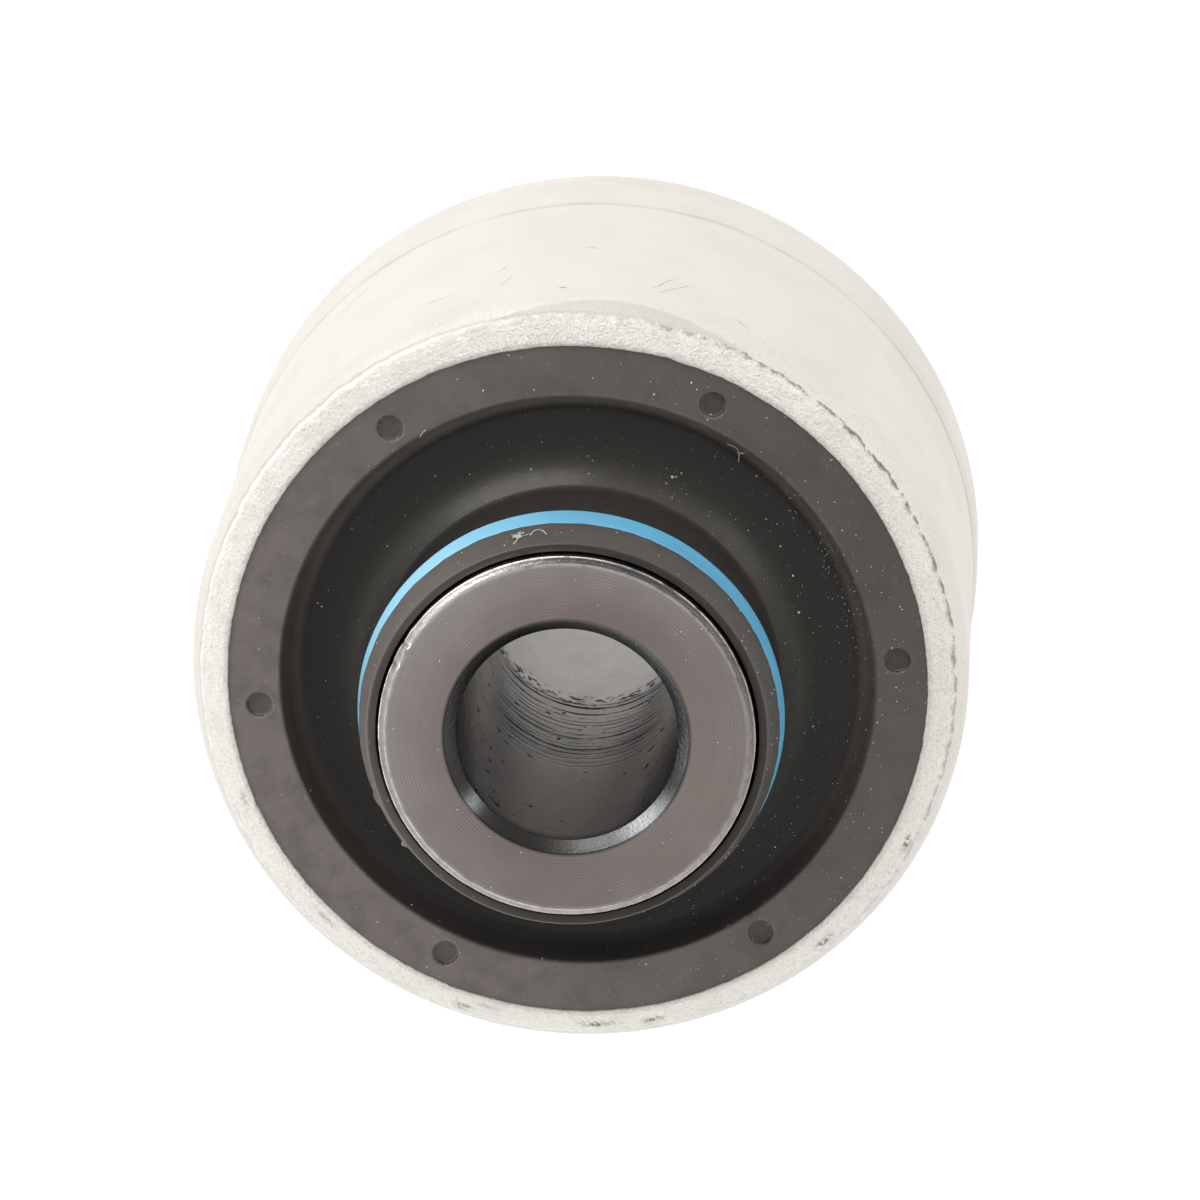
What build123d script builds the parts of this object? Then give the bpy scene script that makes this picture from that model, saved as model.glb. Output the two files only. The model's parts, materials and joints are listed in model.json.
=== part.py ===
from build123d import *
import os

os.makedirs("parts", exist_ok=True)

# Ball-sleeve bush. +Z runs along the bolt axis towards the front end, and Z = 0 is the
# rear face of the sleeve. Radii are measured from Z, heights along it, all in millimetres.

# Ball sleeve, for an M16 through-bolt
bore_radius = 8.1
sleeve_radius = 13.75
sleeve_length = 65.0
countersink_depth = 0.8
sleeve_edge_width = 0.5
sleeve_edge_depth = 0.35
ball_radius = 21.0
ball_root_fillet = 1.5

# Outer casing, a tube with both rims rolled inwards
casing_radius = 29.0
casing_length = 40.0
casing_wall = 2.2
collar_step = 0.3
collar_length = 9.5
collar_ramp = 1.2
rim_radius = 26.0
rim_thickness = 1.0
rim_land = 0.3
rim_edge_round = 0.1
ridge_inset = 0.9
ridge_drop = 1.1
ridge_round = 0.35
lead_in_length = 2.8
lead_in_round = 4.0

# Angle-section press ring inside each boot flange
ring_sheet = 1.3
press_ring_radius = 22.7
press_ring_recess = 1.3
press_ring_depth = 8.0

# Bearing race, in two halves that meet on the ball's equator
running_clearance = 0.08
race_opening_radius = 18.4
race_opening_flare = 0.9
grease_groove_count = 8
grease_groove_width = 2.0
grease_groove_depth = 0.6

# Rubber boot
face_recess = 0.15
face_edge_radius = 22.1
face_edge_round = 0.3
bowl_depth = 3.2
bowl_outer_radius = 21.4
bowl_outer_round = 1.4
bowl_inner_radius = 17.0
bowl_inner_round = 6.2
membrane = 1.3
wrap_reach = 1.2
wrap_round = 1.8
neck_radius = 14.75
neck_foot_depth = 0.6
neck_foot_round = 1.4
seal_clearance = 0.05
collar_radius = 15.46
collar_top_radius = 14.58
collar_edge_round = 0.2
collar_height = 12.0
collar_dish = 0.25
mouth_radius = 13.98
mouth_edge_round = 0.1
mouth_depth = 1.6
dimple_count = 6
dimple_radius = 1.0
dimple_circle = 23.8
dimple_phase = 5.3

# Retaining ring that clamps the boot neck
band_radius = 15.8
band_top_radius = 15.42
band_thickness = 1.25
band_low = 6.9
band_high = 9.15
band_round = 0.3

# Levels that follow from the above
middle = sleeve_length / 2
casing_top = middle + casing_length / 2
casing_base = middle - casing_length / 2
casing_bore = casing_radius - casing_wall
press_ring_top = casing_top - press_ring_recess
race_top = casing_top - press_ring_depth
groove_radius = band_radius - band_thickness - seal_clearance
middle_plane = Plane.XY.offset(middle)


def turned(corners, rounds):
    """Solid turned about Z from a closed outline of (radius, height) corners and their roundings."""
    with BuildPart() as blank:
        with BuildSketch(Plane.XZ):
            with BuildLine():
                FilletPolyline(*corners, radius=rounds, close=True)
            make_face()
        revolve(axis=Axis.Z)
    return blank.part


def ball_sleeve():
    """Steel sleeve with its ball turned in one piece, bored through and countersunk at both ends."""
    low, high = 0, sleeve_length
    edge = sleeve_radius - sleeve_edge_width
    shank = turned(
        [
            (0, low),
            (edge, low),
            (sleeve_radius, low + sleeve_edge_depth),
            (sleeve_radius, high - sleeve_edge_depth),
            (edge, high),
            (0, high),
        ],
        [0] * 6,
    )
    with BuildPart() as sleeve:
        add(shank)
        with Locations((0, 0, middle)):
            Sphere(ball_radius)
        roots = sleeve.edges().filter_by(GeomType.CIRCLE).filter_by(
            lambda e: abs(e.radius - sleeve_radius) < 1e-6 and abs(e.center().Z - middle) < ball_radius
        )
        fillet(roots, ball_root_fillet)
        with Locations((0, 0, middle)):
            Cylinder(bore_radius, sleeve_length, mode=Mode.SUBTRACT)
        mouths = sleeve.edges().filter_by(GeomType.CIRCLE).filter_by(
            lambda e: abs(e.radius - bore_radius) < 1e-6
        )
        chamfer(mouths, countersink_depth)
    return sleeve.part


def outer_casing():
    """Steel tube with a shallow rear collar, press-in leads and both rims rolled inwards."""
    collar = casing_radius + collar_step
    corners = [
        (casing_bore, casing_base + rim_thickness),
        (rim_radius, casing_base + rim_thickness),
        (rim_radius, casing_base),
        (rim_radius + rim_land, casing_base),
        (collar - ridge_inset, casing_base + ridge_drop),
        (collar, casing_base + lead_in_length),
        (collar, casing_base + collar_length),
        (casing_radius, casing_base + collar_length + collar_ramp),
        (casing_radius, casing_top - lead_in_length),
        (casing_radius - ridge_inset, casing_top - ridge_drop),
        (rim_radius + rim_land, casing_top),
        (rim_radius, casing_top),
        (rim_radius, casing_top - rim_thickness),
        (casing_bore, casing_top - rim_thickness),
    ]
    rim_rounds = [0, 0, rim_edge_round, 0, ridge_round, lead_in_round]
    rounds = rim_rounds + [0, 0] + rim_rounds[::-1]
    return turned(corners, rounds)


def press_ring():
    """Front press ring: angle section, its flat leg bonded under the boot flange."""
    leg = casing_bore - ring_sheet
    corners = [
        (leg, race_top),
        (casing_bore, race_top),
        (casing_bore, press_ring_top),
        (press_ring_radius, press_ring_top),
        (press_ring_radius, press_ring_top - ring_sheet),
        (leg, press_ring_top - ring_sheet),
    ]
    return turned(corners, [0, 0, 0, 0, 0, ring_sheet / 2])


def bearing_race():
    """Front half of the plastic race: spherical seat, flared opening and grease grooves."""
    seat = ball_radius + running_clearance
    opening_height = (seat**2 - race_opening_radius**2) ** 0.5
    flare = race_opening_radius + race_opening_flare
    with BuildPart() as race:
        add(
            turned(
                [
                    (race_opening_radius, middle),
                    (casing_bore, middle),
                    (casing_bore, race_top),
                    (flare, race_top),
                    (race_opening_radius, middle + opening_height),
                ],
                [0] * 5,
            )
        )
        with Locations((0, 0, middle)):
            Sphere(seat, mode=Mode.SUBTRACT)
        groove_height = race_top - middle
        groove_reach = seat + grease_groove_depth
        with BuildSketch(Plane.XY.offset(middle)):
            with PolarLocations(0, grease_groove_count):
                Rectangle(groove_reach, grease_groove_width, align=(Align.MIN, Align.CENTER))
        extrude(amount=groove_height, mode=Mode.SUBTRACT)
    return race.part


def boot():
    """Front boot: flat flange, bowl-shaped membrane, grooved neck and collar, in one moulding."""
    face = casing_top - face_recess
    rim_under = casing_top - rim_thickness
    floor = casing_top - bowl_depth
    under = floor - membrane
    ring_under = press_ring_top - ring_sheet
    foot = casing_top - neck_foot_depth
    groove_low = casing_top + band_low - seal_clearance
    groove_high = casing_top + band_high + seal_clearance
    collar_top = casing_top + collar_height
    seal = sleeve_radius + seal_clearance
    wrap = press_ring_radius + wrap_reach
    profile = [
        ((casing_bore, press_ring_top), 0),
        ((casing_bore, rim_under), 0),
        ((rim_radius, rim_under), 0),
        ((rim_radius, face), 0),
        ((face_edge_radius, face), face_edge_round),
        ((bowl_outer_radius, floor), bowl_outer_round),
        ((bowl_inner_radius, floor), bowl_inner_round),
        ((neck_radius, foot), neck_foot_round),
        ((neck_radius, groove_low), 0),
        ((groove_radius, groove_low), 0),
        ((groove_radius, groove_high), 0),
        ((collar_radius, groove_high), collar_edge_round),
        ((collar_top_radius, collar_top), collar_edge_round),
        ((mouth_radius, collar_top - collar_dish), mouth_edge_round),
        ((mouth_radius, collar_top - mouth_depth), 0),
        ((seal, collar_top - 2 * mouth_depth), 0),
        ((seal, foot), neck_foot_round),
        ((bowl_inner_radius - membrane / 2, under), bowl_inner_round),
        ((wrap, under), wrap_round),
        ((wrap, ring_under), 0),
        ((press_ring_radius, ring_under), 0),
        ((press_ring_radius, press_ring_top), 0),
    ]
    with BuildPart() as moulding:
        add(turned([corner for corner, _ in profile], [r for _, r in profile]))
        with BuildSketch(Plane.XY.offset(face)):
            with PolarLocations(dimple_circle, dimple_count, start_angle=dimple_phase):
                Circle(dimple_radius)
        extrude(amount=press_ring_top - face, mode=Mode.SUBTRACT)
    return moulding.part


def retaining_ring():
    """Front plastic band that clamps the boot neck."""
    low, high = casing_top + band_low, casing_top + band_high
    inner = band_radius - band_thickness
    return turned(
        [(inner, low), (band_radius, low), (band_top_radius, high), (inner, high)],
        [0, band_round, band_round, 0],
    )


export_step(ball_sleeve(), "parts/ball_sleeve.step")
export_step(outer_casing(), "parts/outer_casing.step")
for name, make in {
    "press_ring": press_ring,
    "bearing_race": bearing_race,
    "boot": boot,
    "retaining_ring": retaining_ring,
}.items():
    front = make()
    export_step(front, f"parts/{name}_front.step")
    export_step(mirror(front, about=middle_plane), f"parts/{name}_rear.step")
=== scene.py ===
import json

import bpy
import numpy as np
from bpy.props import FloatProperty, FloatVectorProperty, IntProperty, PointerProperty
from mathutils import Matrix, Vector


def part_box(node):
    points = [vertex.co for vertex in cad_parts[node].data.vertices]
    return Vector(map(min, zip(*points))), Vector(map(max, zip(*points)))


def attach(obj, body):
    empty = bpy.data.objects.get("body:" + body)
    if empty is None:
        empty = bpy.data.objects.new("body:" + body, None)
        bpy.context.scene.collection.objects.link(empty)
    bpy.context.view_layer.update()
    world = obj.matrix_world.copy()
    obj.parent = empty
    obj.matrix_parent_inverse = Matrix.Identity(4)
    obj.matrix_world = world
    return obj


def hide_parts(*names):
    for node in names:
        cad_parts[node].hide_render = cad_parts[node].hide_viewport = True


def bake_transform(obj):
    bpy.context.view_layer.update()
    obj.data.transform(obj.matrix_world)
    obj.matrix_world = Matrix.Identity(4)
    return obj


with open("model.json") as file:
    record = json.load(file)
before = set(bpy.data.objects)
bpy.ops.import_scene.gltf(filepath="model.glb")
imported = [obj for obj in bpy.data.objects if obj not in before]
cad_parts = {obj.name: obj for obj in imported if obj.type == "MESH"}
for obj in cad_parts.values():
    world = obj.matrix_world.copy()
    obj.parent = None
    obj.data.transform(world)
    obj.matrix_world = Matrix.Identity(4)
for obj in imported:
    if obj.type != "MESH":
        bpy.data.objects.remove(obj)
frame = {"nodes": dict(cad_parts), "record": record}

bl_info = {
    "name": "Ball-sleeve bush",
    "version": (1, 0, 0),
    "blender": (4, 5, 0),
    "location": "View3D > Sidebar > Bush",
    "description": "Dresses a ball-sleeve suspension bush with plated, turned, rubber and plastic finishes",
    "category": "Object",
}

MM = 0.001
TURN = 2 * np.pi
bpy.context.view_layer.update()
CASING_LOW, CASING_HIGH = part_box("outer_casing")
SLEEVE_LOW, SLEEVE_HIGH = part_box("ball_sleeve")
BAND_LOW, BAND_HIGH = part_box("retaining_ring_front")
MIDDLE = (SLEEVE_LOW.z + SLEEVE_HIGH.z) / 2
MOUNTS = {mount["name"]: mount for mount in frame["record"]["mounts"]}
BORE_RADIUS = MOUNTS["bore"]["dims"]["r_mm"] * MM
CASING_RADIUS = MOUNTS["casing_od"]["dims"]["r_mm"] * MM


# Shapes


def rounded(corners):
    """Closed outline in the plane of radius and height, as rows of (radius, height).

    A corner is (radius, height, round, step). A round of radius q where the outline turns by an
    angle t starts q·tan(t/2) before the corner and ends as far past it. The straight run after
    the corner is cut into lengths of about step, or left whole where step is 0.
    """
    facet = 0.16  # radians of a round from one row to the next
    points = np.array([corner[:2] for corner in corners], float)
    ahead = np.roll(points, -1, axis=0) - points
    ahead /= np.linalg.norm(ahead, axis=1)[:, None]
    behind = np.roll(ahead, 1, axis=0)
    turn = np.arctan2(behind[:, 0] * ahead[:, 1] - behind[:, 1] * ahead[:, 0], (behind * ahead).sum(1))
    radii = np.array([corner[2] for corner in corners])
    reach = radii * np.tan(abs(turn) / 2)
    starts, ends = points - behind * reach[:, None], points + ahead * reach[:, None]
    rows = []
    for i, (_, _, radius, step) in enumerate(corners):
        if radius > 0:
            side = np.sign(turn[i]) * np.array([-behind[i, 1], behind[i, 0]])
            swept = turn[i] * np.linspace(0, 1, max(4, int(abs(turn[i]) / facet) + 1))
            spoke = -side * radius
            cos, sin = np.cos(swept), np.sin(swept)
            arc = np.stack([spoke[0] * cos - spoke[1] * sin, spoke[0] * sin + spoke[1] * cos], 1)
            rows.append(starts[i] + side * radius + arc)
        else:
            rows.append(points[i : i + 1])
        finish = starts[(i + 1) % len(corners)]
        gap = np.linalg.norm(finish - ends[i])
        if step > 0 and gap > step:
            part = np.arange(1, round(gap / step)) / round(gap / step)
            rows.append(ends[i] + (finish - ends[i]) * part[:, None])
    return np.concatenate(rows)


def smooth(t):
    """3t² - 2t³: from 0 to 1 with level ends."""
    return t * t * (3 - 2 * t)


def ramp(value, width):
    """0 below 0, 1 above width, straight between."""
    return np.clip(value / width, 0, 1)


def near(value, centre, width):
    """1 at centre, falling to 0 as exp(-((value - centre) / width)²)."""
    return np.exp(-(((value - centre) / width) ** 2))


def lobe(angle, bearing, width):
    """1 at a bearing, falling off as near does on both sides of it; bearing and width in degrees."""
    return near(np.abs((np.degrees(angle) - bearing + 180) % 360 - 180), 0, width)


def evenly(count):
    """As many angles evenly round the axis."""
    return np.linspace(0, TURN, count, endpoint=False)


def round_z(bearing, radius, height):
    """Points at a bearing in radians, a radius and a height: (r·cos a, r·sin a, z)."""
    return np.stack(np.broadcast_arrays(radius * np.cos(bearing), radius * np.sin(bearing), height), -1)


def speckle(seed, around, along, angle, height):
    """Smooth noise from -1 to 1 that repeats once round the axis.

    Random values on a lattice of around by along cells are joined by 3t² - 2t³ in both
    directions; height runs from 0 to 1 over the lattice.
    """
    lattice = np.random.default_rng(seed).uniform(-1, 1, (along + 1, around))
    x = (angle / TURN % 1) * around
    y = np.clip(height, 0, 0.9999) * along
    x, y = np.broadcast_arrays(x, y)
    column, row = x.astype(int), y.astype(int)
    u, v = smooth(x - column), smooth(y - row)
    column, beside = column % around, (column + 1) % around
    low = lattice[row, column] * (1 - u) + lattice[row, beside] * u
    high = lattice[row + 1, column] * (1 - u) + lattice[row + 1, beside] * u
    return low * (1 - v) + high * v


def mesh_from(name, points, faces, body, replaced, material):
    """Mesh object from a vertex array and a face array, smooth, riding on a body of the frame."""
    mesh = bpy.data.meshes.new(name)
    mesh.from_pydata([], [], [])
    mesh.vertices.add(len(points))
    mesh.vertices.foreach_set("co", points.astype(np.float32).ravel())
    sides = faces.shape[1]
    mesh.loops.add(faces.size)
    mesh.loops.foreach_set("vertex_index", faces.astype(np.int32).ravel())
    mesh.polygons.add(len(faces))
    mesh.polygons.foreach_set("loop_start", np.arange(0, faces.size, sides, dtype=np.int32))
    mesh.update(calc_edges=True)
    mesh.validate()
    mesh.polygons.foreach_set("use_smooth", np.ones(len(mesh.polygons), bool))
    mesh.materials.append(material)
    piece = bpy.data.objects.new(name, mesh)
    bpy.context.scene.collection.objects.link(piece)
    if body:
        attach(piece, body)
    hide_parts(*replaced)
    return piece


def lathe(outline, angles, shape=None):
    """Surface turned about Z and closed both ways: P(s, a) = (r(s)·cos a, r(s)·sin a, z(s)).

    shape(r, z, a), if given, returns r and z with the piece's own unevenness added. Returns
    the points, the quads, and r, z and a as grids of one value for each point.
    """
    radius, height = (np.broadcast_to(part[:, None], (len(outline), len(angles))) for part in outline.T)
    angle = np.broadcast_to(angles[None, :], radius.shape)
    if shape:
        radius, height = shape(radius, height, angle)
    points = round_z(angle, radius, height).reshape(-1, 3)
    index = np.arange(radius.size).reshape(radius.shape)
    after, beside = np.roll(index, -1, 0), np.roll(index, -1, 1)
    quads = np.stack([index, beside, np.roll(after, -1, 1), after], -1).reshape(-1, 4)
    x, y = outline.T
    if np.sum(x * np.roll(y, -1) - np.roll(x, -1) * y) < 0:
        quads = quads[:, ::-1]
    return points, quads, radius.ravel(), height.ravel(), angle.ravel()


def note(piece, name, values):
    """Stores one number for each vertex, for the material to read."""
    attribute = piece.data.attributes.new(name, "FLOAT", "POINT")
    attribute.data.foreach_set("value", np.asarray(values, np.float32).ravel())


def both_ends(points, quads):
    """The front piece, then the rear one: heights reflected in the middle plane, quads turned over."""
    return ("front", points, quads), ("rear", points * [1, 1, -1] + [0, 0, 2 * MIDDLE], quads[:, ::-1])


# Finishes


class Field:
    """A number that varies over a surface; +, -, * and abs with it add the nodes that work it out."""

    __array_ufunc__ = None  # a numpy number leaves the sum to the field

    def __init__(self, nodes, socket):
        self.nodes, self.socket = nodes, socket

    def __add__(self, other):
        return self.nodes.math("ADD", self, other)

    def __sub__(self, other):
        return self.nodes.math("SUBTRACT", self, other)

    def __rsub__(self, other):
        return self.nodes.math("SUBTRACT", other, self)

    def __mul__(self, other):
        return self.nodes.math("MULTIPLY", self, other)

    def __abs__(self):
        return self.nodes.math("ABSOLUTE", self)

    __radd__, __rmul__ = __add__, __mul__


class Nodes:
    """A node tree and short ways to add to it."""

    def __init__(self, tree):
        self.tree = tree

    def add(self, kind, inputs=None, **settings):
        node = self.tree.nodes.new("ShaderNode" + kind)
        for key, value in settings.items():
            setattr(node, key, value)
        for key, value in (inputs or {}).items():
            self.feed(node.inputs[key], value)
        return node

    def feed(self, socket, value):
        """Links a field or a socket, or sets a number, a vector or a colour of three parts."""
        if isinstance(value, Field):
            value = value.socket
        if isinstance(value, bpy.types.NodeSocket):
            self.tree.links.new(value, socket)
        else:
            socket.default_value = (*value, 1.0) if socket.type == "RGBA" else value

    def math(self, operation, *values, clamp=False):
        node = self.add("Math", dict(enumerate(values)), operation=operation, use_clamp=clamp)
        return Field(self, node.outputs[0])

    def most(self, first, second):
        return self.math("MAXIMUM", first, second)

    def step(self, value, low, high, bottom=0.0, top=1.0):
        """bottom below low, top above high, smooth between."""
        inputs = {"Value": value, "From Min": low, "From Max": high, "To Min": bottom, "To Max": top}
        return Field(self, self.add("MapRange", inputs, interpolation_type="SMOOTHSTEP").outputs["Result"])

    def band(self, value, centre, width):
        """1 at centre, falling smoothly to 0 at width either side."""
        return 1 - self.step(abs(value - centre), 0.0, width)


class Finish(Nodes):
    """A material, its shader and the patterns that lie on the piece."""

    def __init__(self, name):
        self.material = bpy.data.materials.new(name)
        self.material.use_nodes = True
        super().__init__(self.material.node_tree)
        self.shader = self.tree.nodes["Principled BSDF"]
        self.place = self.add("TexCoord").outputs["Object"]

    def set(self, **values):
        """Feeds the shader's sockets, each named with _ for a space."""
        for key, value in values.items():
            self.feed(self.shader.inputs[key.replace("_", " ")], value)

    def attribute(self, name):
        return Field(self, self.add("Attribute", attribute_name=name).outputs["Fac"])

    def stretched(self, x, y, z):
        """The place, scaled along each axis."""
        return self.add("VectorMath", {0: self.place, 1: (x, y, z)}, operation="MULTIPLY").outputs[0]

    def axes(self):
        """Radius, height and bearing in radians of the place."""
        x, y, z = self.add("SeparateXYZ", {0: self.place}).outputs
        flat = self.add("VectorMath", {0: self.stretched(1, 1, 0)}, operation="LENGTH").outputs["Value"]
        return Field(self, flat), Field(self, z), self.math("ARCTAN2", y, x)

    def noise(self, scale, detail=2.0, vector=None, roughness=0.5):
        """Noise of about scale metres from one blob to the next."""
        vector = vector or self.place
        inputs = {"Vector": vector, "Scale": 1 / scale, "Detail": detail, "Roughness": roughness}
        return Field(self, self.add("TexNoise", inputs).outputs["Fac"])

    def bands(self, along, pitch, detail):
        """Noise that follows one length alone, about pitch from one band to the next."""
        inputs = {"W": along * (1 / pitch), "Scale": 1.0, "Detail": detail}
        return Field(self, self.add("TexNoise", inputs, noise_dimensions="1D").outputs["Fac"])

    def dots(self, pitch, size, share):
        """Round specks on a lattice of cells pitch wide; size is a speck's radius over the pitch."""
        cells = self.add("TexVoronoi", {"Vector": self.place, "Scale": 1 / pitch}).outputs
        lottery = self.add("SeparateColor", {0: cells["Color"]}).outputs[0]
        dot = 1 - self.step(cells["Distance"], size * 0.5, size)
        return dot * self.step(lottery, share, min(share + 0.3, 1.0))

    def blend(self, amount, first, second):
        """Colour that goes from first to second as amount goes from 0 to 1."""
        return self.add("Mix", {0: amount, 6: first, 7: second}, data_type="RGBA").outputs[2]

    def relief(self, *layers):
        """Bumps laid over each other, each (height, depth in metres)."""
        normal = None
        for height, depth in layers:
            bump = self.add("Bump", {"Height": height, "Distance": depth})
            if normal:
                self.feed(bump.inputs["Normal"], normal)
            normal = bump.outputs[0]
        self.set(Normal=normal)


# Marks on the casing: bearing in degrees, height, length, tilt from level in degrees, half width
# and darkness of each, with lengths in millimetres.
MARKS = (
    (102.5, 39.8, 2.2, 62, 0.12, 0.55), (101.5, 43.6, 3.0, 70, 0.12, 0.60),
    (92.8, 47.1, 1.2, -26, 0.28, 0.75), (112.5, 43.6, 3.6, -10, 0.35, 0.25),
    (130.0, 27.5, 3.6, 33, 0.25, 0.40), (76.7, 44.5, 7.3, 61, 0.14, 0.45),
    (78.2, 43.4, 6.0, 70, 0.12, 0.45), (65.5, 47.6, 1.0, -35, 0.16, 0.95),
    (66.4, 46.9, 0.8, -30, 0.14, 0.85), (89.8, 36.0, 1.2, 0, 0.45, 0.40),
    (-108.5, 51.75, 1.7, 0, 0.30, 0.85), (-87.0, 51.9, 3.4, 0, 0.28, 0.75),
    (-78.0, 51.85, 2.0, 0, 0.28, 0.75), (-47.4, 51.8, 2.0, 0, 0.30, 0.80),
    (-26.4, 51.75, 1.8, 0, 0.30, 0.80), (-158.6, 52.2, 2.2, 0, 0.30, 0.35),
    (-135.0, 52.1, 2.6, 0, 0.30, 0.35), (-105.0, 52.2, 2.4, 0, 0.25, 0.30),
)


def casing_marks(f, around, height):
    """The casing's marks, each fading out from its middle line and towards its ends."""
    total = 0.0
    for bearing, level, reach, tilt, half, dark in MARKS:
        cos, sin = np.cos(np.radians(tilt)), np.sin(np.radians(tilt))
        beside, above = around - CASING_RADIUS * np.radians(bearing), height - level * MM
        along, across = beside * cos + above * sin, above * cos - beside * sin
        mark = f.band(along, 0.0, 0.65 * reach * MM) * f.band(across, 0.0, half * MM)
        total = f.most(total, mark * (1.7 * dark))
    return total


def plated_steel(colours, s):
    """Dull zinc: smooth on the tube, sandy on the rim, with a burred ridge, scuffs and a stained lead-in, and
    painted light and shade on the ridge, the rim's lip, the rear step and one side of the tube and rim.
    """
    f = Finish("plated_steel")
    radius, height, turn = f.axes()
    around = turn * CASING_RADIUS
    sandy, ridge_unlit = f.attribute("sandy"), f.attribute("ridge_unlit")
    grain = f.noise(0.20 * MM, 3, roughness=0.7)
    lumps = f.noise(0.45 * MM, 3, roughness=0.6)
    broad = f.noise(7 * MM, 3)
    tube = f.blend(f.step(broad, 0.35, 0.7), colours.plate, colours.plate_shade)
    # Painted shade on the tube about bearing 70, in the stain colour.
    tube = f.blend(f.attribute("tube_shade") * 0.12, tube, colours.stain)
    rim = f.blend(f.step(f.noise(2.5 * MM, 3), 0.4, 0.7), colours.rim, colours.rim_shade)
    # Painted shade on the rim about bearing 110, in the stain colour.
    rim = f.blend(f.attribute("grey"), rim, colours.stain)
    tint = f.blend(sandy, tube, rim)

    # Depth below the nearer rim. The ridge is a thin wavering line at one depth, with a bright crest above it
    # and a painted shadow below it. On the lit side the ridge line is a painted highlight in the burr colour;
    # elsewhere it is a broken dark line of painted shade.
    depth = CASING_HIGH.z - MIDDLE - abs(height - MIDDLE)
    waver = f.noise(1.1 * MM, 4, roughness=0.65) * (0.55 * MM) + depth
    ridge_depth = s.ridge_drop + 0.27 * MM
    ridge = f.band(waver, ridge_depth, 0.17 * MM)
    shadow = f.band(waver, ridge_depth + 0.30 * MM, 0.22 * MM)
    crest = f.band(waver, ridge_depth - 0.26 * MM, 0.15 * MM)
    broken = f.step(f.noise(0.9 * MM, 3, roughness=0.65), 0.36, 0.56) * f.step(broad, 0.22, 0.48)
    ridge_lit = 1 - ridge_unlit

    # A grey-green stain on the lead-in, widest at its middle.
    stain_middle, stain_half = CASING_RADIUS * np.radians(84), CASING_RADIUS * np.radians(26)
    past = waver - ridge_depth
    left = f.band(around, stain_middle, stain_half) * (1.7 * MM) - past
    stain = f.step(past, 0.0, 0.15 * MM) * f.step(left, 0.0, 0.12 * MM)
    tint = f.blend(stain * 0.40, tint, colours.stain)

    # Streaks run in from the rim's inner edge, darkened as painted shade next to the boot's lip, strongest
    # about bearing 100; scuffs and strokes lie over the tube.
    radial = f.add("CombineXYZ", {0: around, 1: radius * 0.22}).outputs[0]
    streaks = f.step(f.noise(0.28 * MM, 3, radial), 0.38, 0.70)
    scuff = f.step(f.noise(0.9 * MM, 2, f.stretched(1, 1, 3.5)), 0.66, 0.78)
    ragged = f.step(f.noise(0.35 * MM, 3, roughness=0.65), 0.36, 0.60)
    strokes = f.math("MULTIPLY", casing_marks(f, around, height), ragged, clamp=True)

    # A dark line of painted shade over the rear collar's ramp, and grit that thins out down the tube.
    shoulder = CASING_LOW.z + s.collar_length + s.collar_ramp + 0.25 * MM
    line = f.band(f.noise(5 * MM, 2) * (0.5 * MM) + height, shoulder, 0.45 * MM)
    upper = 1 - f.step(broad * (-9 * MM) + depth, -2 * MM, 3 * MM)
    for amount in (
        f.step(grain, 0.48, 0.72) * sandy * 0.17,
        f.step(f.noise(0.26 * MM, 3, roughness=0.7), 0.52, 0.70) * upper * 0.20,
        f.step(lumps, 0.50, 0.72) * sandy * 0.07,
        scuff * f.step(f.noise(9 * MM, 1), 0.45, 0.65) * 0.25,
        f.step(f.noise(0.28 * MM, 2), 0.64, 0.74) * f.attribute("lead") * 0.35,
        line * (f.step(broad, 0.30, 0.60) * 0.6 + 0.4) * 0.28,
        streaks * f.attribute("lip_shade") * 0.20,
        # Painted shadow below the ridge on the lit side, then the ridge's dark line of painted shade on the
        # other bearings.
        shadow * ridge_lit * 0.28,
        ridge * broken * ridge_unlit * 0.90,
        strokes * 0.9,
    ):
        tint = f.blend(amount, tint, colours.plate_dirt_and_shade)
    # Burr colour for the bright crest and, on the lit side, the ridge's painted highlight.
    burr = f.most(ridge * ridge_lit, crest * (1 - broken) * 0.8)
    f.set(Base_Color=f.blend(burr, tint, colours.burr), Metallic=0.35, Roughness=grain * 0.25 + 0.38)
    f.relief((grain * (sandy * 0.9 + 0.1), 0.14 * MM), (lumps * sandy, 0.13 * MM),
             (f.noise(1.4 * MM, 2), 0.03 * MM))
    return f.material


# Scores round the bore: height, half width and darkness of each, with lengths in millimetres.
SCORES = ((48.1, 0.14, 0.25), (47.2, 0.11, 0.35), (46.3, 0.14, 0.35), (45.2, 0.18, 0.55), (44.2, 0.30, 0.75),
          (43.4, 0.12, 0.70), (41.6, 0.22, 0.90), (40.6, 0.12, 0.60), (38.5, 0.12, 0.95), (37.8, 0.10, 0.35),
          (36.9, 0.10, 0.35), (35.9, 0.20, 1.00), (34.4, 0.26, 0.95), (33.6, 0.14, 0.80))


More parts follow.
